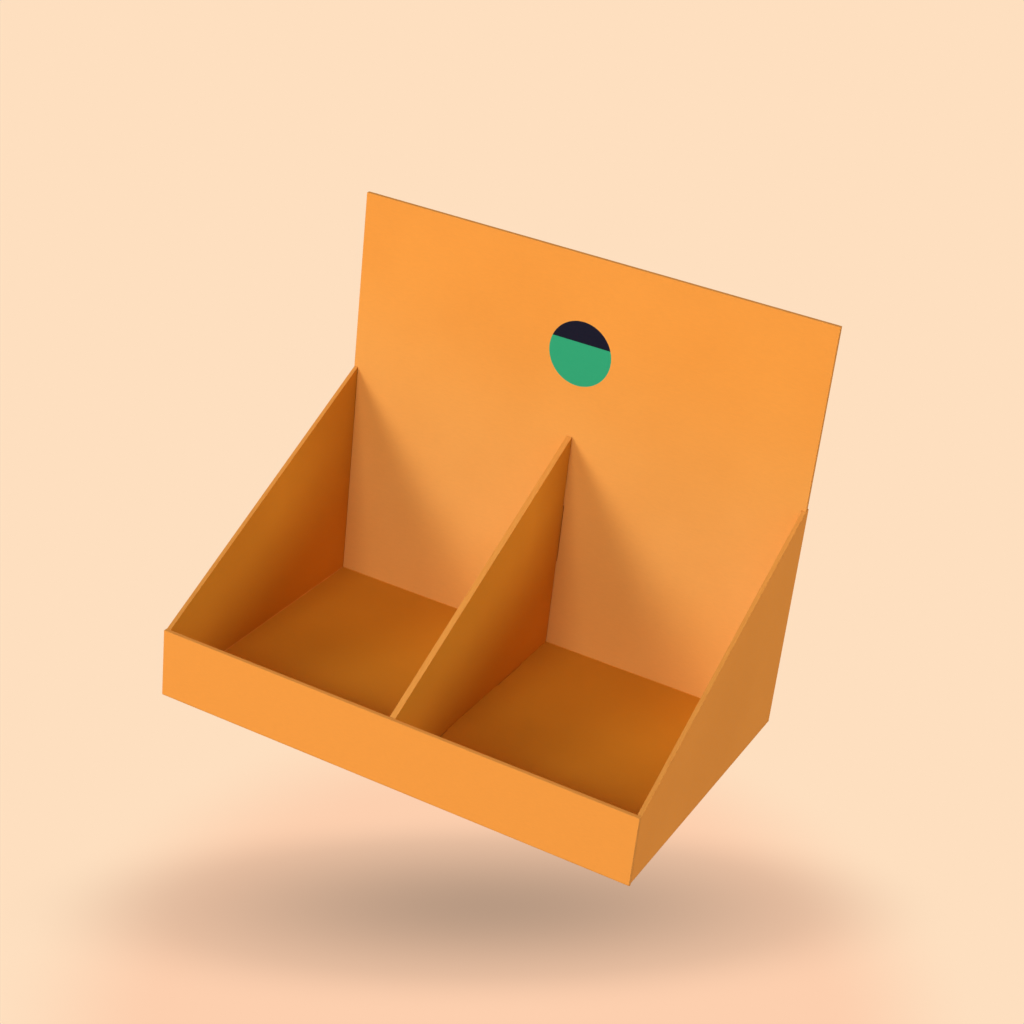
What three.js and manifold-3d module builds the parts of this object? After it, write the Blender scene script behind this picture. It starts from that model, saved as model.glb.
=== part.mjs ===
// Counter display box: a tray folded and glued from one die-cut sheet of solid board, with a tall
// header at the back, sloping side walls and a low front, and one divider plugged in across its middle.
// Millimetres. +X is to the right of someone facing the box, +Y is towards its back, +Z is up.
// The origin is on the surface that the box stands on, at the middle of its footprint.

import * as THREE from 'three';
import { mergeVertices } from 'three/addons/utils/BufferGeometryUtils.js';
import Module from 'manifold-3d';

const wasm = await Module();
wasm.setup();

// Outside sizes of the tray
const trayWidth = 240;
const trayDepth = 155;
const headerHeight = 205;
const sideHeight = 115;
const frontHeight = 35;

// The board and its creases
const board = 2;
const floorFoldRadius = 1.2; // outside the folds along the floor
const uprightFoldRadius = 0.6; // outside the sharper, scored folds of the side walls' flaps
const foldInnerRadius = 0.3;
const foldSegments = 4;
const panelGap = 0.1; // between two panels of the sheet that meet without glue
const glueBite = 0.05; // depth that a glued flap beds into the panel it holds

// Glue flaps of the side walls: one turned in behind the front wall, one wrapped round the back panel
const frontFlapLength = 26;
const frontFlapDrop = 1.5;
const rearFlapLength = 22;
const rearFlapDrop = 4;
const flapFoot = 3;
const flapTaper = 5;

// The divider, its tabs and the slots that they plug into
const dividerBoard = 2.8;
const dividerEndGap = 0.3; // from each end of the divider to the wall that it stands up to
const slotClearance = 0.3;
const floorTabLength = 24;
const floorTabSpacing = 72;
const rearTabHeight = 30;
const rearTabFoot = 48;
const tabShort = 0.3; // from a tab's end to the outer face of the panel that it goes through
const tabLead = 0.6; // cut off a tab's corners, so that it finds its slot
const dividerNick = 1; // cut off the divider's lower corners, to clear the creases

// Faces that everything is placed from
const sideOuter = trayWidth / 2;
const sideInner = sideOuter - board;
const frontOuter = -trayDepth / 2;
const frontInner = frontOuter + board;
const wallFront = frontInner - glueBite; // where the side walls start
const slopeFront = wallFront + uprightFoldRadius; // where their slope starts
const rearOuter = trayDepth / 2;
const backOuter = rearOuter - board + glueBite;
const backInner = backOuter - board;

const pastEdge = 1; // how far a cutter runs on past what it cuts

// Height of the sloping edge, a straight line that leaves the front's level top behind the upright
// fold and runs up to the top of the sides
function slopeHeight(y) {
  const rise = (sideHeight - frontHeight) / (backInner - slopeFront);
  return frontHeight + rise * (y - slopeFront);
}

// A closed outline through corners [across, up, radius]. A right angle with a radius is rounded.
function outline(corners) {
  const shape = new THREE.Shape();
  corners.forEach(([across, up, radius = 0], index) => {
    const corner = new THREE.Vector2(across, up);
    const before = new THREE.Vector2(...corners.at(index - 1));
    const after = new THREE.Vector2(...corners[(index + 1) % corners.length]);
    const start = corner.clone().add(before.sub(corner).setLength(radius));
    const end = corner.clone().add(after.sub(corner).setLength(radius));
    if (index === 0) shape.moveTo(start.x, start.y);
    else shape.lineTo(start.x, start.y);
    if (radius > 0) {
      const centre = start.clone().add(end).sub(corner);
      const fromCentre = start.sub(centre);
      const toEnd = end.sub(centre);
      const clockwise = fromCentre.cross(toEnd) < 0;
      shape.absarc(centre.x, centre.y, radius, fromCentre.angle(), toEnd.angle(), clockwise);
    }
  });
  return shape;
}

function rectangle(left, low, right, high) {
  return outline([[left, low], [right, low], [right, high], [left, high]]);
}

// The section of a strip of board along its outer corners. The board lies to the left of that line,
// and each fold is rounded outside and inside.
function creasedStrip(corners, foldRadius) {
  const outer = corners.map(([across, up]) => new THREE.Vector2(across, up));
  const headings = outer.slice(1).map((corner, index) => corner.clone().sub(outer[index]).normalize());
  const last = outer.length - 1;
  const outerSide = [];
  const innerSide = [];
  outer.forEach((corner, index) => {
    const isEnd = index === 0 || index === last;
    const inset = new THREE.Vector2();
    const meeting = isEnd ? [headings[Math.min(index, last - 1)]] : [headings[index - 1], headings[index]];
    meeting.forEach((heading) => inset.add(new THREE.Vector2(-heading.y, heading.x)));
    const inner = corner.clone().addScaledVector(inset, board);
    outerSide.push([corner.x, corner.y, isEnd ? 0 : foldRadius]);
    innerSide.unshift([inner.x, inner.y, isEnd ? 0 : foldInnerRadius]);
  });
  return outline([...outerSide, ...innerSide]);
}

// A closed three.js geometry as a solid that can be joined and cut
function toSolid(geometry) {
  geometry.deleteAttribute('normal');
  geometry.deleteAttribute('uv');
  const merged = mergeVertices(geometry);
  return new wasm.Manifold(new wasm.Mesh({
    numProp: 3,
    vertProperties: new Float32Array(merged.attributes.position.array),
    triVerts: new Uint32Array(merged.index.array),
  }));
}

// The planes that outlines are drawn on, by the axis that they are run along:
// along x an outline is (y, z), along y it is (x, z), and along z it is (x, y)
const axisX = new THREE.Vector3(1, 0, 0);
const axisY = new THREE.Vector3(0, 1, 0);
const axisZ = new THREE.Vector3(0, 0, 1);
const drawingPlanes = {
  x: new THREE.Matrix4().makeBasis(axisY, axisZ, axisX),
  y: new THREE.Matrix4().makeBasis(axisX, axisZ, axisY.clone().negate()),
  z: new THREE.Matrix4().makeBasis(axisX, axisY, axisZ),
};

// An outline run along an axis from one place to another
function prism(shape, axis, from, to) {
  const depth = to - from;
  const geometry = new THREE.ExtrudeGeometry(shape, {
    depth,
    bevelEnabled: false,
    curveSegments: foldSegments,
  });
  const start = axis === 'y' ? -to : from;
  geometry.translate(0, 0, start);
  geometry.applyMatrix4(drawingPlanes[axis]);
  return toSolid(geometry);
}

// Front wall, floor and back panel with its header: one strip from front to back. It is cut narrower
// where the side walls stand, and the header's shoulders reach out again over them.
function frontToBackStrip() {
  const section = creasedStrip([
    [frontOuter, frontHeight],
    [frontOuter, 0],
    [backOuter, 0],
    [backOuter, headerHeight],
  ], floorFoldRadius);
  const sideRoom = rectangle(frontInner, -pastEdge, rearOuter + pastEdge, sideHeight + panelGap);
  return prism(section, 'x', -sideOuter, sideOuter)
    .subtract(prism(sideRoom, 'x', sideInner - panelGap, sideOuter + pastEdge))
    .subtract(prism(sideRoom, 'x', -sideOuter - pastEdge, panelGap - sideInner));
}

// The floor's two side folds, up to where the side walls stand straight
function floorWithSideFolds() {
  const foldHeight = board + floorFoldRadius;
  const section = creasedStrip([
    [-sideOuter, foldHeight],
    [-sideOuter, 0],
    [sideOuter, 0],
    [sideOuter, foldHeight],
  ], floorFoldRadius);
  const sideView = outline([
    [wallFront, 0],
    [backOuter, 0, floorFoldRadius],
    [backOuter, foldHeight],
    [wallFront, foldHeight],
  ]);
  const footprint = outline([
    [-sideOuter, wallFront, uprightFoldRadius],
    [sideOuter, wallFront, uprightFoldRadius],
    [sideOuter, rearOuter],
    [-sideOuter, rearOuter],
  ]);
  return prism(section, 'y', wallFront, backOuter)
    .intersect(prism(sideView, 'x', -sideOuter, sideOuter))
    .intersect(prism(footprint, 'z', 0, foldHeight));
}

// The flat shape of a glue flap, from the outside of the side wall to its tapered end
function flapBlank(side, length, top, from, to) {
  const fold = side * sideInner;
  const tip = side * (sideOuter - length);
  const shape = outline([
    [side * sideOuter, flapFoot],
    [fold, flapFoot],
    [tip, flapFoot + flapTaper],
    [tip, top - flapTaper],
    [fold, top],
    [side * sideOuter, top],
  ]);
  return prism(shape, 'y', from, to);
}

// A sloping side wall with its two glue flaps, turned at upright folds. side is 1 right, -1 left.
function sideWall(side) {
  const plan = [
    [side * (sideOuter - frontFlapLength), wallFront],
    [side * sideOuter, wallFront],
    [side * sideOuter, rearOuter],
    [side * (sideOuter - rearFlapLength), rearOuter],
  ];
  if (side < 0) plan.reverse();
  const wallShape = outline([
    [wallFront, 0],
    [rearOuter, 0],
    [rearOuter, sideHeight],
    [backInner, sideHeight],
    [slopeFront, frontHeight],
    [wallFront, frontHeight],
  ]);
  const wallBlank = prism(wallShape, 'x', Math.min(side * sideInner, side * sideOuter),
    Math.max(side * sideInner, side * sideOuter));
  const frontFlap = flapBlank(side, frontFlapLength, frontHeight - frontFlapDrop, wallFront,
    wallFront + board);
  const rearFlap = flapBlank(side, rearFlapLength, sideHeight - rearFlapDrop, rearOuter - board,
    rearOuter);
  const floorFold = outline([
    [-sideOuter, 0, floorFoldRadius],
    [sideOuter, 0, floorFoldRadius],
    [sideOuter, sideHeight],
    [-sideOuter, sideHeight],
  ]);
  return prism(creasedStrip(plan, uprightFoldRadius), 'z', 0, sideHeight)
    .intersect(wallBlank.add(frontFlap).add(rearFlap))
    .intersect(prism(floorFold, 'y', wallFront, rearOuter));
}

// Places of the divider's floor tabs along the tray, by their middles
const dividerMiddle = (frontInner + backInner) / 2;
const floorTabs = [dividerMiddle - floorTabSpacing / 2, dividerMiddle + floorTabSpacing / 2];

// The slots cut through the floor and the back panel for the divider's tabs
function dividerSlots() {
  const slotSide = dividerBoard / 2 + slotClearance;
  const slotEnd = floorTabLength / 2 + slotClearance;
  const floorSlots = floorTabs.map((middle) => prism(
    rectangle(-slotSide, middle - slotEnd, slotSide, middle + slotEnd), 'z', -pastEdge, board + pastEdge));
  const rearSlot = prism(
    rectangle(-slotSide, rearTabFoot - slotClearance, slotSide, rearTabFoot + rearTabHeight + slotClearance),
    'y', backInner - pastEdge, backOuter + pastEdge);
  return [...floorSlots, rearSlot];
}

function buildTray() {
  const folded = frontToBackStrip().add(floorWithSideFolds()).add(sideWall(1)).add(sideWall(-1));
  return dividerSlots().reduce((sheet, slot) => sheet.subtract(slot), folded);
}

// The divider in side view: its sloping top is level with the side walls' tops
function buildDivider() {
  const front = frontInner + dividerEndGap;
  const back = backInner - dividerEndGap;
  const foot = board;
  const tabEnd = tabShort;
  const rearTabEnd = backOuter - tabShort;
  const corners = [
    [front, foot + dividerNick],
    [front + dividerNick, foot],
  ];
  floorTabs.forEach((middle) => {
    const start = middle - floorTabLength / 2;
    const end = middle + floorTabLength / 2;
    corners.push([start, foot], [start, tabEnd + tabLead], [start + tabLead, tabEnd]);
    corners.push([end - tabLead, tabEnd], [end, tabEnd + tabLead], [end, foot]);
  });
  corners.push(
    [back - dividerNick, foot],
    [back, foot + dividerNick],
    [back, rearTabFoot],
    [rearTabEnd - tabLead, rearTabFoot],
    [rearTabEnd, rearTabFoot + tabLead],
    [rearTabEnd, rearTabFoot + rearTabHeight - tabLead],
    [rearTabEnd - tabLead, rearTabFoot + rearTabHeight],
    [back, rearTabFoot + rearTabHeight],
    [back, slopeHeight(back)],
    [front, slopeHeight(front)],
  );
  return prism(outline(corners), 'x', -dividerBoard / 2, dividerBoard / 2);
}

// A finished piece as a named mesh
function piece(name, solid, color) {
  const { numProp, vertProperties, triVerts } = solid.getMesh();
  const geometry = new THREE.BufferGeometry();
  geometry.setAttribute('position', new THREE.BufferAttribute(vertProperties, numProp));
  geometry.setIndex(new THREE.BufferAttribute(triVerts, 1));
  geometry.computeVertexNormals();
  const material = new THREE.MeshStandardMaterial({ color, roughness: 0.7, metalness: 0 });
  const mesh = new THREE.Mesh(geometry, material);
  mesh.name = name;
  return mesh;
}

const orangeBoard = 0xf29a42;
const orangeInsert = 0xe08a38;

const displayBox = new THREE.Group();
displayBox.name = 'counter_display_box';
displayBox.add(piece('tray', buildTray(), orangeBoard));
displayBox.add(piece('divider', buildDivider(), orangeInsert));

export default displayBox;
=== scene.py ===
# Counter display box: a tray folded from orange board, with a tall header and a plugged-in divider.
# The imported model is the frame. Each piece shown is its node's own form with finished edges.

import math

import bmesh
import bpy
from mathutils import Matrix, Vector


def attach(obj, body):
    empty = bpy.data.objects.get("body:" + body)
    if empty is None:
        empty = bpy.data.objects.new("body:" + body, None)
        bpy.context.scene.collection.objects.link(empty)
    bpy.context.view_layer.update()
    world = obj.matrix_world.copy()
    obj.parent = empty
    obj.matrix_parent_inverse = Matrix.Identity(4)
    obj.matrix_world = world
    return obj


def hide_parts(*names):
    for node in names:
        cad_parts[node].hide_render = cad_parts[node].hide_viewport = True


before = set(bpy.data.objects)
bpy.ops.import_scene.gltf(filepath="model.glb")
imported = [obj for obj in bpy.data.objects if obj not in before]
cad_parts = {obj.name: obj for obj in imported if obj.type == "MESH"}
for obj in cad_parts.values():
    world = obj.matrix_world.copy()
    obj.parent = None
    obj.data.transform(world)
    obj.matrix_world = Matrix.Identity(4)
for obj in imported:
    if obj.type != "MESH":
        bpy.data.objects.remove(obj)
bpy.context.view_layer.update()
mm = 0.001
squarely = 0.7  # a face looks along an axis where its normal's share of that axis is over this
print("frame loaded:", ", ".join(sorted(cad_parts)))


# Node tree helpers

def screenColour(red, green, blue):
    # 0 to 255 as seen on screen, turned into the linear values that sockets take
    levels = [channel / 255 for channel in (red, green, blue)]
    return tuple(v / 12.92 if v <= 0.04045 else ((v + 0.055) / 1.055) ** 2.4 for v in levels) + (1.0,)


def addNode(tree, kind, label, settings=None, values=None):
    node = tree.nodes.new(kind)
    node.label = label
    for name, setting in (settings or {}).items():
        setattr(node, name, setting)
    for name, value in (values or {}).items():
        node.inputs[name].default_value = value
    return node


def addMath(tree, operation, first, second=None, label=""):
    node = addNode(tree, "ShaderNodeMath", label, {"operation": operation})
    for index, term in enumerate((first, second)):
        if term is None:
            continue
        if isinstance(term, (int, float)):
            node.inputs[index].default_value = term
        else:
            tree.links.new(term, node.inputs[index])
    return node.outputs[0]


def addRange(tree, value, fromLow, fromHigh, toLow, toHigh, label="", smooth=False):
    node = addNode(tree, "ShaderNodeMapRange", label)
    node.interpolation_type = "SMOOTHSTEP" if smooth else "LINEAR"
    levels = {"From Min": fromLow, "From Max": fromHigh, "To Min": toLow, "To Max": toHigh}
    for name, level in levels.items():
        node.inputs[name].default_value = level
    tree.links.new(value, node.inputs["Value"])
    return node.outputs["Result"]


def addColourMix(tree, factor, first, second, label=""):
    node = addNode(tree, "ShaderNodeMix", label, {"data_type": "RGBA"})
    tree.links.new(factor, node.inputs["Factor"])
    for socket, colour in ((node.inputs[6], first), (node.inputs[7], second)):
        if isinstance(colour, tuple):
            socket.default_value = colour
        else:
            tree.links.new(colour, socket)
    return node.outputs[2]


def addPlace(tree):
    # where a point lies on its piece, and which way the surface faces there
    place = addNode(tree, "ShaderNodeTexCoord", "object place")
    where = addNode(tree, "ShaderNodeSeparateXYZ", "place on the piece")
    facing = addNode(tree, "ShaderNodeSeparateXYZ", "facing")
    tree.links.new(place.outputs["Object"], where.inputs[0])
    tree.links.new(place.outputs["Normal"], facing.inputs[0])
    return where, facing


def startGroup(name, inputs, outputs):
    tree = bpy.data.node_groups.new(name, "ShaderNodeTree")
    for label, level in inputs.items():
        socket = tree.interface.new_socket(label, in_out="INPUT", socket_type="NodeSocketFloat")
        socket.default_value = level
    for label in outputs:
        tree.interface.new_socket(label, in_out="OUTPUT", socket_type="NodeSocketFloat")
    return tree, tree.nodes.new("NodeGroupInput"), tree.nodes.new("NodeGroupOutput")


def placeGroup(tree, group, label, values):
    node = addNode(tree, "ShaderNodeGroup", label, {"node_tree": group})
    for name, level in values.items():
        node.inputs[name].default_value = level
    return node


# Pressed paper fibre: long faint fibres that run with the board, soft clouding and a fine tooth.
# Sizes are in millimetres.

def buildFibreGroup():
    tree, given, result = startGroup(
        "pressedFibre",
        {"Fibre Size": 0.5, "Fibre Stretch": 5.0, "Cloud Size": 40.0, "Tooth Size": 0.25},
        ("Fibre", "Cloud", "Tooth"))
    place = addNode(tree, "ShaderNodeTexCoord", "object place")
    facing = addNode(tree, "ShaderNodeSeparateXYZ", "facing")
    tree.links.new(place.outputs["Normal"], facing.inputs[0])
    sideways = addMath(tree, "ABSOLUTE", facing.outputs["X"])
    isSide = addMath(tree, "GREATER_THAN", sideways, squarely, label="side walls")
    squeeze = addMath(tree, "DIVIDE", 1.0, given.outputs["Fibre Stretch"])
    runs = []
    for axis in ("X", "Y"):
        combine = addNode(tree, "ShaderNodeCombineXYZ", "fibres along " + axis,
                          values={"X": 1, "Y": 1, "Z": 1})
        tree.links.new(squeeze, combine.inputs[axis])
        run = addNode(tree, "ShaderNodeVectorMath", "stretched place", {"operation": "MULTIPLY"})
        tree.links.new(place.outputs["Object"], run.inputs[0])
        tree.links.new(combine.outputs[0], run.inputs[1])
        runs.append(run.outputs[0])
    chosen = addNode(tree, "ShaderNodeMix", "grain direction", {"data_type": "VECTOR"})
    tree.links.new(isSide, chosen.inputs["Factor"])
    tree.links.new(runs[0], chosen.inputs[4])
    tree.links.new(runs[1], chosen.inputs[5])
    layers = (  # output, size, where from, detail and roughness
        ("Fibre", "Fibre Size", chosen.outputs[1], 6.0, 0.62),
        ("Cloud", "Cloud Size", place.outputs["Object"], 3.0, 0.5),
        ("Tooth", "Tooth Size", place.outputs["Object"], 2.0, 0.55),
    )
    for output, size, vector, detail, roughness in layers:
        noise = addNode(tree, "ShaderNodeTexNoise", output.lower(),
                        values={"Detail": detail, "Roughness": roughness})
        tree.links.new(vector, noise.inputs["Vector"])
        tree.links.new(addMath(tree, "DIVIDE", 1000.0, given.outputs[size]), noise.inputs["Scale"])
        tree.links.new(noise.outputs["Fac"], result.inputs[output])
    return tree


# A round printed spot on the face of the header, in two fields. Places are in metres.

def buildSpotGroup():
    tree, given, result = startGroup(
        "printedSpot",
        {"Middle Height": 0.157, "Radius": 0.016, "Band Height": 0.164, "Edge": 0.0001},
        ("Spot", "Band"))
    where, facing = addPlace(tree)
    isFront = addMath(tree, "LESS_THAN", facing.outputs["Y"], -squarely, label="front face only")
    above = addMath(tree, "SUBTRACT", where.outputs["Z"], given.outputs["Middle Height"])
    square = addMath(tree, "ADD", addMath(tree, "MULTIPLY", where.outputs["X"], where.outputs["X"]),
                     addMath(tree, "MULTIPLY", above, above))
    inside = addMath(tree, "SUBTRACT", given.outputs["Radius"], addMath(tree, "SQRT", square))
    sharp = addMath(tree, "DIVIDE", inside, given.outputs["Edge"])
    circle = addRange(tree, sharp, -0.5, 0.5, 0.0, 1.0, "printed edge")
    disc = addMath(tree, "MULTIPLY", circle, isFront)
    overBand = addMath(tree, "SUBTRACT", where.outputs["Z"], given.outputs["Band Height"])
    sharpBand = addMath(tree, "DIVIDE", overBand, given.outputs["Edge"])
    band = addRange(tree, sharpBand, -0.5, 0.5, 0.0, 1.0, "band edge")
    tree.links.new(disc, result.inputs["Spot"])
    tree.links.new(addMath(tree, "MULTIPLY", disc, band), result.inputs["Band"])
    return tree


fibreGroup = buildFibreGroup()
spotGroup = buildSpotGroup()


# Materials

boardLook = {
    "face": screenColour(235, 151, 59),
    "faceDeep": screenColour(231, 147, 56),
    # painted light: a paler, less orange colour down the back panel that lifts the shade there
    "low": screenColour(232, 163, 82),  # down the back panel, between the walls
    "backPaintedLightDeep": screenColour(228, 158, 77),
    "backPaintedLightFrom": 190 * mm,
    "backPaintedLightTo": 50 * mm,
    # painted shade: the front wall's face a touch darker than the header, though it is the same board
    "front": screenColour(230, 147, 59),
    "frontPlane": -77 * mm,  # the front wall's face lies before this
    # painted shade: a deeper, darker orange inside the bays; the pale ones below are painted light
    "bayWall": screenColour(205, 136, 34),
    "bayWallPaintedShadeDeep": screenColour(201, 131, 31),
    "bayWallPaintedLight": screenColour(229, 156, 44),
    "bayWallPaintedLightBack": (-30 * mm, 75 * mm),  # paler from the first place back to the second
    "bayWallPaintedLightTop": 95 * mm,
    "bayFloor": screenColour(214, 142, 37),
    "bayFloorPaintedShadeDeep": screenColour(210, 137, 33),
    "bayFloorPaintedLight": screenColour(250, 170, 52),
    "bayFloorPaintedLightFront": (5 * mm, -75 * mm),  # paler from the first place on to the second
    "cut": screenColour(224, 150, 66),
    "cutDeep": screenColour(212, 134, 54),
    "fold": screenColour(230, 150, 60),
    "foldDeep": screenColour(223, 143, 52),
    "clouding": (0.35, 0.65),
    "fibreRange": (0.3, 0.7),
    "strandRange": (0.3, 0.75),
    "strandShade": (0.975, 1.025),
    "rough": (0.6, 0.75),
    "foldRough": (0.58, 0.78),
    "cutRough": 0.82,
    "toothDepth": 0.03 * mm,
    "foldToothDepth": 0.04 * mm,
    "cutToothDepth": 0.06 * mm,
    "cutPlies": (120.0, 3200.0, 1.0),  # along and across the cut edge, to the metre
    "specular": 0.18,
}

boardFibre = {"Fibre Size": 0.55, "Fibre Stretch": 6.0, "Cloud Size": 70.0, "Tooth Size": 0.3}
foldFibre = {"Fibre Size": 0.35, "Fibre Stretch": 3.0, "Cloud Size": 18.0, "Tooth Size": 0.2}

spotLook = {
    "ground": screenColour(40, 159, 112),
    "band": screenColour(6, 7, 32),
    "middleHeight": 157 * mm,
    "radius": 16 * mm,
    "bandHeight": 162.5 * mm,
    "edge": 0.12 * mm,
}


def startMaterial(name):
    material = bpy.data.materials.new(name)
    material.use_nodes = True
    tree = material.node_tree
    shader = tree.nodes["Principled BSDF"]
    shader.inputs["Specular IOR Level"].default_value = boardLook["specular"]
    return material, tree, shader


def addTooth(tree, shader, height, depth):
    bump = addNode(tree, "ShaderNodeBump", "paper tooth", values={"Strength": 1.0, "Distance": depth})
    tree.links.new(height, bump.inputs["Height"])
    tree.links.new(bump.outputs["Normal"], shader.inputs["Normal"])


def addRoughness(tree, shader, fibre, levels):
    rough = addRange(tree, fibre.outputs["Fibre"], *boardLook["fibreRange"], *levels, "roughness")
    tree.links.new(rough, shader.inputs["Roughness"])


def addClouding(tree, fibre):
    return addRange(tree, fibre.outputs["Cloud"], *boardLook["clouding"], 0.0, 1.0, "soft clouding")


def addSurface(tree, shader, ground, fibre):
    # the colour shaded by the fibres, with their roughness and tooth
    strands = addRange(tree, fibre.outputs["Fibre"], *boardLook["strandRange"],
                       *boardLook["strandShade"], "fibre shade")
    shaded = addNode(tree, "ShaderNodeVectorMath", "shaded by fibre", {"operation": "SCALE"})
    tree.links.new(ground, shaded.inputs[0])
    tree.links.new(strands, shaded.inputs["Scale"])
    addRoughness(tree, shader, fibre, boardLook["rough"])
    height = addMath(tree, "ADD", fibre.outputs["Tooth"], fibre.outputs["Fibre"],
                     label="tooth and fibres")
    addTooth(tree, shader, height, boardLook["toothDepth"])
    return shaded.outputs[0]


def buildFaceMaterial():
    # the header, the back panel and the outside; low between the walls the back panel is painted a
    # touch paler and less orange, painted light over the shade there
    material, tree, shader = startMaterial("orangeBoardFace")
    fibre = placeGroup(tree, fibreGroup, "board fibre", boardFibre)
    clouds = addClouding(tree, fibre)
    upper = addColourMix(tree, clouds, boardLook["face"], boardLook["faceDeep"], "clouded orange")
    lower = addColourMix(tree, clouds, boardLook["low"], boardLook["backPaintedLightDeep"], "clouded painted-light orange")
    where, facing = addPlace(tree)
    isRear = addMath(tree, "GREATER_THAN", where.outputs["Y"], 0)
    toFront = addMath(tree, "LESS_THAN", facing.outputs["Y"], -squarely)
    isBack = addMath(tree, "MULTIPLY", isRear, toFront, label="front of the back panel only")
    fall = addRange(tree, where.outputs["Z"], boardLook["backPaintedLightTo"], boardLook["backPaintedLightFrom"], 1.0, 0.0,
                    "how far down", True)
    # painted shade on the front wall's face
    isFront = addMath(tree, "LESS_THAN", where.outputs["Y"], boardLook["frontPlane"],
                      label="front wall only")
    withPaintedFrontShade = addColourMix(tree, isFront, upper, boardLook["front"], "front wall")
    # painted light: where the back panel is painted paler, more so lower down
    paler = addMath(tree, "MULTIPLY", isBack, fall)
    ground = addColourMix(tree, paler, withPaintedFrontShade, lower, "painted light down the back")
    shaded = addSurface(tree, shader, ground, fibre)
    spot = placeGroup(tree, spotGroup, "printed spot", {
        "Middle Height": spotLook["middleHeight"], "Radius": spotLook["radius"],
        "Band Height": spotLook["bandHeight"], "Edge": spotLook["edge"]})
    inked = addColourMix(tree, spot.outputs["Spot"], shaded, spotLook["ground"], "green field")
    printed = addColourMix(tree, spot.outputs["Band"], inked, spotLook["band"], "navy field")
    tree.links.new(printed, shader.inputs["Base Color"])
    return material


def buildBayPaintedShadeAndLight():
    # painted shade and light inside the bays: a deeper orange all over as painted shade, and paler
    # low on the walls at the back and to the floor's front as painted light
    material, tree, shader = startMaterial("orangeBoardBayPaintedShadeAndLight")
    fibre = placeGroup(tree, fibreGroup, "board fibre", boardFibre)
    clouds = addClouding(tree, fibre)
    # painted shade: the bay's walls and floor in a deeper orange
    wallPaintedShade = addColourMix(tree, clouds, boardLook["bayWall"], boardLook["bayWallPaintedShadeDeep"],
                            "clouded painted-shade wall")
    floorPaintedShade = addColourMix(tree, clouds, boardLook["bayFloor"], boardLook["bayFloorPaintedShadeDeep"],
                             "clouded painted-shade floor")
    where, facing = addPlace(tree)
    wallStart, wallEnd = boardLook["bayWallPaintedLightBack"]
    # painted light low on the bay walls toward the back
    back = addRange(tree, where.outputs["Y"], wallStart, wallEnd, 0.0, 1.0, "how far back", True)
    down = addRange(tree, where.outputs["Z"], 0.0, boardLook["bayWallPaintedLightTop"], 1.0, 0.0,
                    "how far down", True)
    paintedLightAtBack = addMath(tree, "MULTIPLY", back, down, label="painted light low at the back")
    wall = addColourMix(tree, paintedLightAtBack, wallPaintedShade, boardLook["bayWallPaintedLight"], "wall")
    floorStart, floorEnd = boardLook["bayFloorPaintedLightFront"]
    # painted light on the bay floor toward the front
    front = addRange(tree, where.outputs["Y"], floorEnd, floorStart, 1.0, 0.0,
                     "how far to the front", True)
    floor = addColourMix(tree, front, floorPaintedShade, boardLook["bayFloorPaintedLight"], "floor")
    isFloor = addMath(tree, "GREATER_THAN", facing.outputs["Z"], squarely, label="floor only")
    ground = addColourMix(tree, isFloor, wall, floor, "wall or floor")
    tree.links.new(addSurface(tree, shader, ground, fibre), shader.inputs["Base Color"])
    return material


def buildCutMaterial():
    # the die-cut edge: pressed plies that run along the edge, read from the edge's own layout
    material, tree, shader = startMaterial("orangeBoardCutEdge")
    layout = addNode(tree, "ShaderNodeUVMap", "along and across the edge", {"uv_map": "edgeLayout"})
    stretch = addNode(tree, "ShaderNodeMapping", "ply run", values={"Scale": boardLook["cutPlies"]})
    tree.links.new(layout.outputs["UV"], stretch.inputs["Vector"])
    plies = addNode(tree, "ShaderNodeTexNoise", "plies",
                    values={"Scale": 1.0, "Detail": 4.0, "Roughness": 0.6})
    tree.links.new(stretch.outputs["Vector"], plies.inputs["Vector"])
    share = addRange(tree, plies.outputs["Fac"], 0.35, 0.68, 0.0, 1.0, "ply shade")
    colour = addColourMix(tree, share, boardLook["cut"], boardLook["cutDeep"], "cut fibre")
    tree.links.new(colour, shader.inputs["Base Color"])
    shader.inputs["Roughness"].default_value = boardLook["cutRough"]
    addTooth(tree, shader, plies.outputs["Fac"], boardLook["cutToothDepth"])
    return material


def buildFoldMaterial():
    # the creases: surface stretched over the fold, a touch duller and rubbed in places
    material, tree, shader = startMaterial("orangeBoardFold")
    fibre = placeGroup(tree, fibreGroup, "board fibre", foldFibre)
    rub = addRange(tree, fibre.outputs["Cloud"], 0.4, 0.65, 0.0, 1.0, "rubbed stretches")
    colour = addColourMix(tree, rub, boardLook["fold"], boardLook["foldDeep"], "stretched orange")
    tree.links.new(colour, shader.inputs["Base Color"])
    addRoughness(tree, shader, fibre, boardLook["foldRough"])
    addTooth(tree, shader, fibre.outputs["Tooth"], boardLook["foldToothDepth"])
    return material


materials = {
    "face": buildFaceMaterial(),
    "cut": buildCutMaterial(),
    "fold": buildFoldMaterial(),
    "bay": buildBayPaintedShadeAndLight(),
}
materialOrder = list(materials)
print("materials made:", ", ".join(m.name for m in materials.values()))


# Board pieces

boardFinish = {
    "weld": 0.002 * mm,
    "speck": 0.003 * mm,
    "flatAngle": math.radians(0.6),
    "foldFacet": 0.5 * mm,  # narrower faces than this are facets of a fold
    "cutWidth": 3.4 * mm,  # narrower than this and not a fold is a cut edge
    "bayReach": (118.5 * mm, 74 * mm, 116 * mm),  # how far the bays reach from the origin
    "bayFoot": 0.5 * mm,  # what lies lower is the underside
    "bayFacing": -0.5,  # what faces the front more than this is the back panel
    "sharpAngle": math.radians(50),
    "edgeRound": 0.14 * mm,
    "edgeSegments": 3,
    "edgeProfile": 0.5,
    "flatWeight": 100,
    "smoothAngle": math.radians(35),
}


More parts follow.
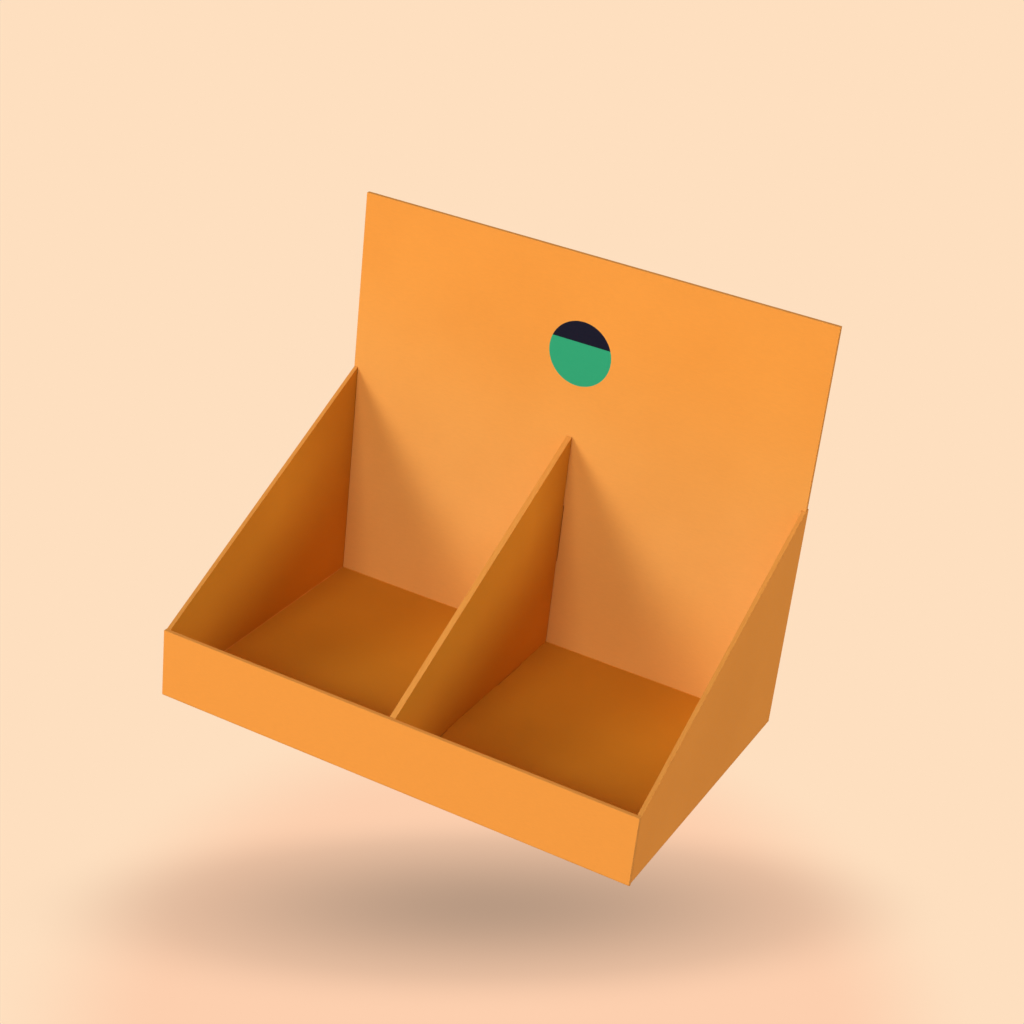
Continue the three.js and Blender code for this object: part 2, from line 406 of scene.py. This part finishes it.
def faceWidth(face):
    longest = max(edge.calc_length() for edge in face.edges)
    return face.calc_area() / longest


def copyNode(nodeName, pieceName):
    bpy.ops.object.select_all(action="DESELECT")
    piece = bpy.data.objects.new(pieceName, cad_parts[nodeName].data.copy())
    piece.data.name = pieceName
    bpy.context.scene.collection.objects.link(piece)
    bpy.context.view_layer.objects.active = piece
    piece.select_set(True)
    return piece


def isInBay(face):
    # inside the walls and not underneath; the back panel faces the front, so it is left out
    middle = face.calc_center_median()
    reach = boardFinish["bayReach"]
    isAcross = abs(middle.x) < reach[0] and abs(middle.y) < reach[1]
    isUp = boardFinish["bayFoot"] < middle.z < reach[2]
    return isAcross and isUp and face.normal.y > boardFinish["bayFacing"]


def sortFaces(mesh):
    # by width: a fold's narrow facet, a cut edge, or a panel's face inside or outside the bays
    for face in mesh.faces:
        width = faceWidth(face)
        if width < boardFinish["foldFacet"]:
            kind = "fold"
        elif width < boardFinish["cutWidth"]:
            kind = "cut"
        else:
            kind = "bay" if isInBay(face) else "face"
        face.material_index = materialOrder.index(kind)


def layOutEdges(mesh):
    layout = mesh.loops.layers.uv.new("edgeLayout")
    for face in mesh.faces:
        longest = max(face.edges, key=lambda edge: edge.calc_length())
        along = (longest.verts[1].co - longest.verts[0].co).normalized()
        across = face.normal.cross(along)
        for loop in face.loops:
            loop[layout].uv = (loop.vert.co.dot(along), loop.vert.co.dot(across))


def finishBoard(nodeName, pieceName):
    piece = copyNode(nodeName, pieceName)
    piece.data.materials.clear()
    for material in materials.values():
        piece.data.materials.append(material)
    bpy.ops.object.mode_set(mode="EDIT")
    bpy.ops.mesh.select_mode(type="EDGE")
    bpy.ops.mesh.select_all(action="SELECT")
    bpy.ops.mesh.remove_doubles(threshold=boardFinish["weld"])
    bpy.ops.mesh.dissolve_limited(angle_limit=boardFinish["flatAngle"])
    bpy.ops.mesh.select_all(action="DESELECT")
    mesh = bmesh.from_edit_mesh(piece.data)
    sortFaces(mesh)
    for edge in mesh.edges:
        if len(edge.link_faces) == 2 and edge.calc_face_angle_signed(0) > boardFinish["sharpAngle"]:
            edge.select_set(True)
    bmesh.update_edit_mesh(piece.data)
    bpy.ops.mesh.bevel(offset=boardFinish["edgeRound"], segments=boardFinish["edgeSegments"],
                       profile=boardFinish["edgeProfile"], affect="EDGES", clamp_overlap=False,
                       material=materialOrder.index("cut"))
    bpy.ops.mesh.select_all(action="SELECT")
    bpy.ops.mesh.dissolve_degenerate(threshold=boardFinish["speck"])
    mesh = bmesh.from_edit_mesh(piece.data)
    layOutEdges(mesh)
    bmesh.update_edit_mesh(piece.data)
    bpy.ops.object.mode_set(mode="OBJECT")
    bpy.ops.object.shade_smooth_by_angle(angle=boardFinish["smoothAngle"])
    weighted = piece.modifiers.new("flat panels stay flat", "WEIGHTED_NORMAL")
    weighted.keep_sharp = True
    weighted.weight = boardFinish["flatWeight"]
    bpy.ops.object.modifier_apply(modifier=weighted.name)
    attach(piece, "root")
    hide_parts(nodeName)
    print("finished", pieceName, "with", len(piece.data.polygons), "faces")


finishBoard("tray", "foldedTray")
finishBoard("divider", "dividerPanel")


# Floor, light and camera

stageLook = {
    "floorReach": 14.0,
    "floorDrop": 110 * mm,  # the box hovers over its shadow, as in the photo
    "floorColour": screenColour(254, 223, 191),
    "litColour": screenColour(200, 178, 152),  # the floor as it lights the box
    "floorRough": 0.9,
    "floorSpecular": 0.1,
    "worldColour": (1.0, 1.0, 1.0, 1.0),
    "worldStrength": 0.235,
}

# Soft ovals painted on the floor that only the camera sees: a faint warm painted shade, then the
# box's painted shadow on it.
# "spread" is an oval's two half sizes, "bell" how fast it falls off and "end" where it fades out.
# painted shade and a painted shadow on the floor, for the camera only
paintedShadeOvals = [
    {
        "name": "warm painted shade",
        "colour": screenColour(253, 207, 174),
        "middle": (60.5 * mm, -58.4 * mm, 0),
        "turn": math.radians(99.0),
        "spread": (264.3 * mm, 226.0 * mm, 1),
        "bell": 0.0,
        "end": (0.65, 1.0),
    },
    {
        "name": "painted soft shadow",
        "colour": screenColour(185, 154, 131),
        "middle": (20.8 * mm, 5.7 * mm, 0),
        "turn": math.radians(36.7),
        "spread": (116.8 * mm, 37.9 * mm, 1),
        "bell": -0.5,
        "end": (1.3, 2.1),
    },
]


def addOval(tree, place, below, oval):
    # the colour below with this painted oval of shade laid over it
    toOval = addNode(tree, "ShaderNodeMapping", oval["name"] + " place", {"vector_type": "TEXTURE"}, {
        "Location": oval["middle"], "Rotation": (0, 0, oval["turn"]), "Scale": oval["spread"]})
    tree.links.new(place, toOval.inputs["Vector"])
    far = addNode(tree, "ShaderNodeVectorMath", "half sizes from its middle", {"operation": "LENGTH"})
    tree.links.new(toOval.outputs["Vector"], far.inputs[0])
    square = addMath(tree, "MULTIPLY", far.outputs["Value"], far.outputs["Value"])
    fall = addMath(tree, "MULTIPLY", square, oval["bell"])
    bell = addMath(tree, "EXPONENT", fall, label="soft bell")
    end = addRange(tree, far.outputs["Value"], *oval["end"], 1.0, 0.0, "fade out", True)
    share = addMath(tree, "MULTIPLY", bell, end)
    return addColourMix(tree, share, below, oval["colour"], oval["name"])


def buildFloor():
    bpy.ops.object.select_all(action="DESELECT")
    bpy.ops.mesh.primitive_plane_add(size=stageLook["floorReach"] * 2,
                                     location=(0, 0, -stageLook["floorDrop"]))
    floor = bpy.context.active_object
    floor.name = "paleFloor"
    material = bpy.data.materials.new("paleFloor")
    material.use_nodes = True
    tree = material.node_tree
    shader = tree.nodes["Principled BSDF"]
    shader.inputs["Base Color"].default_value = stageLook["litColour"]
    shader.inputs["Roughness"].default_value = stageLook["floorRough"]
    shader.inputs["Specular IOR Level"].default_value = stageLook["floorSpecular"]
    place = addNode(tree, "ShaderNodeTexCoord", "place on the floor")
    colour = stageLook["floorColour"]
    for oval in paintedShadeOvals:
        colour = addOval(tree, place.outputs["Object"], colour, oval)
    shown = addNode(tree, "ShaderNodeEmission", "floor as the camera sees it")
    tree.links.new(colour, shown.inputs["Color"])
    rays = addNode(tree, "ShaderNodeLightPath", "which ray")
    surface = addNode(tree, "ShaderNodeMixShader", "pale to the camera, real to the box")
    tree.links.new(rays.outputs["Is Camera Ray"], surface.inputs["Fac"])
    tree.links.new(shader.outputs["BSDF"], surface.inputs[1])
    tree.links.new(shown.outputs["Emission"], surface.inputs[2])
    tree.links.new(surface.outputs["Shader"], tree.nodes["Material Output"].inputs["Surface"])
    floor.data.materials.append(material)


def buildWorld():
    world = bpy.data.worlds.new("softRoom")
    bpy.context.scene.world = world
    world.use_nodes = True
    tree = world.node_tree
    background = tree.nodes["Background"]
    rays = addNode(tree, "ShaderNodeLightPath", "which ray")
    isSeen = rays.outputs["Is Camera Ray"]
    colour = addColourMix(tree, isSeen, stageLook["worldColour"], stageLook["floorColour"])
    strength = addRange(tree, isSeen, 0.0, 1.0, stageLook["worldStrength"], 1.0)
    tree.links.new(colour, background.inputs["Color"])
    tree.links.new(strength, background.inputs["Strength"])


# Three light the front and sides; the low one behind keeps the back from going dark.
softboxes = [
    {"name": "keySoftbox", "azimuth": -40, "elevation": 20, "watts": 86.5},
    {"name": "frontSoftbox", "azimuth": 0, "elevation": 25, "watts": 73},
    {"name": "sideSoftbox", "azimuth": 95, "elevation": 22, "watts": 61},
    {"name": "backSoftbox", "azimuth": 180, "elevation": 6, "watts": 45},
]
softboxSize = 1.4
softboxDistance = 4.0
aimPoint = Vector((0, 0, 80 * mm))


def addSoftbox(box):
    azimuth, elevation = math.radians(box["azimuth"]), math.radians(box["elevation"])
    level = math.cos(elevation)
    away = Vector((math.sin(azimuth) * level, -math.cos(azimuth) * level, math.sin(elevation)))
    data = bpy.data.lights.new(box["name"], "AREA")
    data.size = softboxSize
    data.energy = box["watts"]
    lamp = bpy.data.objects.new(box["name"], data)
    bpy.context.scene.collection.objects.link(lamp)
    lamp.location = aimPoint + away * softboxDistance
    lamp.rotation_euler = away.to_track_quat("Z", "Y").to_euler()


cameraView = {
    "place": (0.36408, -0.74401, 0.53549),
    "azimuth": 25.467,
    "elevation": 27.423,
    "roll": 6.584,
    "lens": 73.708,
    "sensor": 36.0,
    "farthest": 60,
}


def buildCamera():
    data = bpy.data.cameras.new("photoView")
    data.lens = cameraView["lens"]
    data.sensor_width = cameraView["sensor"]
    data.clip_end = cameraView["farthest"]
    camera = bpy.data.objects.new("photoView", data)
    bpy.context.scene.collection.objects.link(camera)
    turn = Matrix.Rotation(math.radians(cameraView["azimuth"]), 4, "Z")
    tilt = Matrix.Rotation(math.radians(90 - cameraView["elevation"]), 4, "X")
    roll = Matrix.Rotation(math.radians(cameraView["roll"]), 4, "Z")
    camera.matrix_world = Matrix.Translation(cameraView["place"]) @ turn @ tilt @ roll
    bpy.context.scene.camera = camera


buildFloor()
buildWorld()
for box in softboxes:
    addSoftbox(box)
buildCamera()
bpy.context.scene.view_settings.view_transform = "Standard"
print("stage, light and camera set")
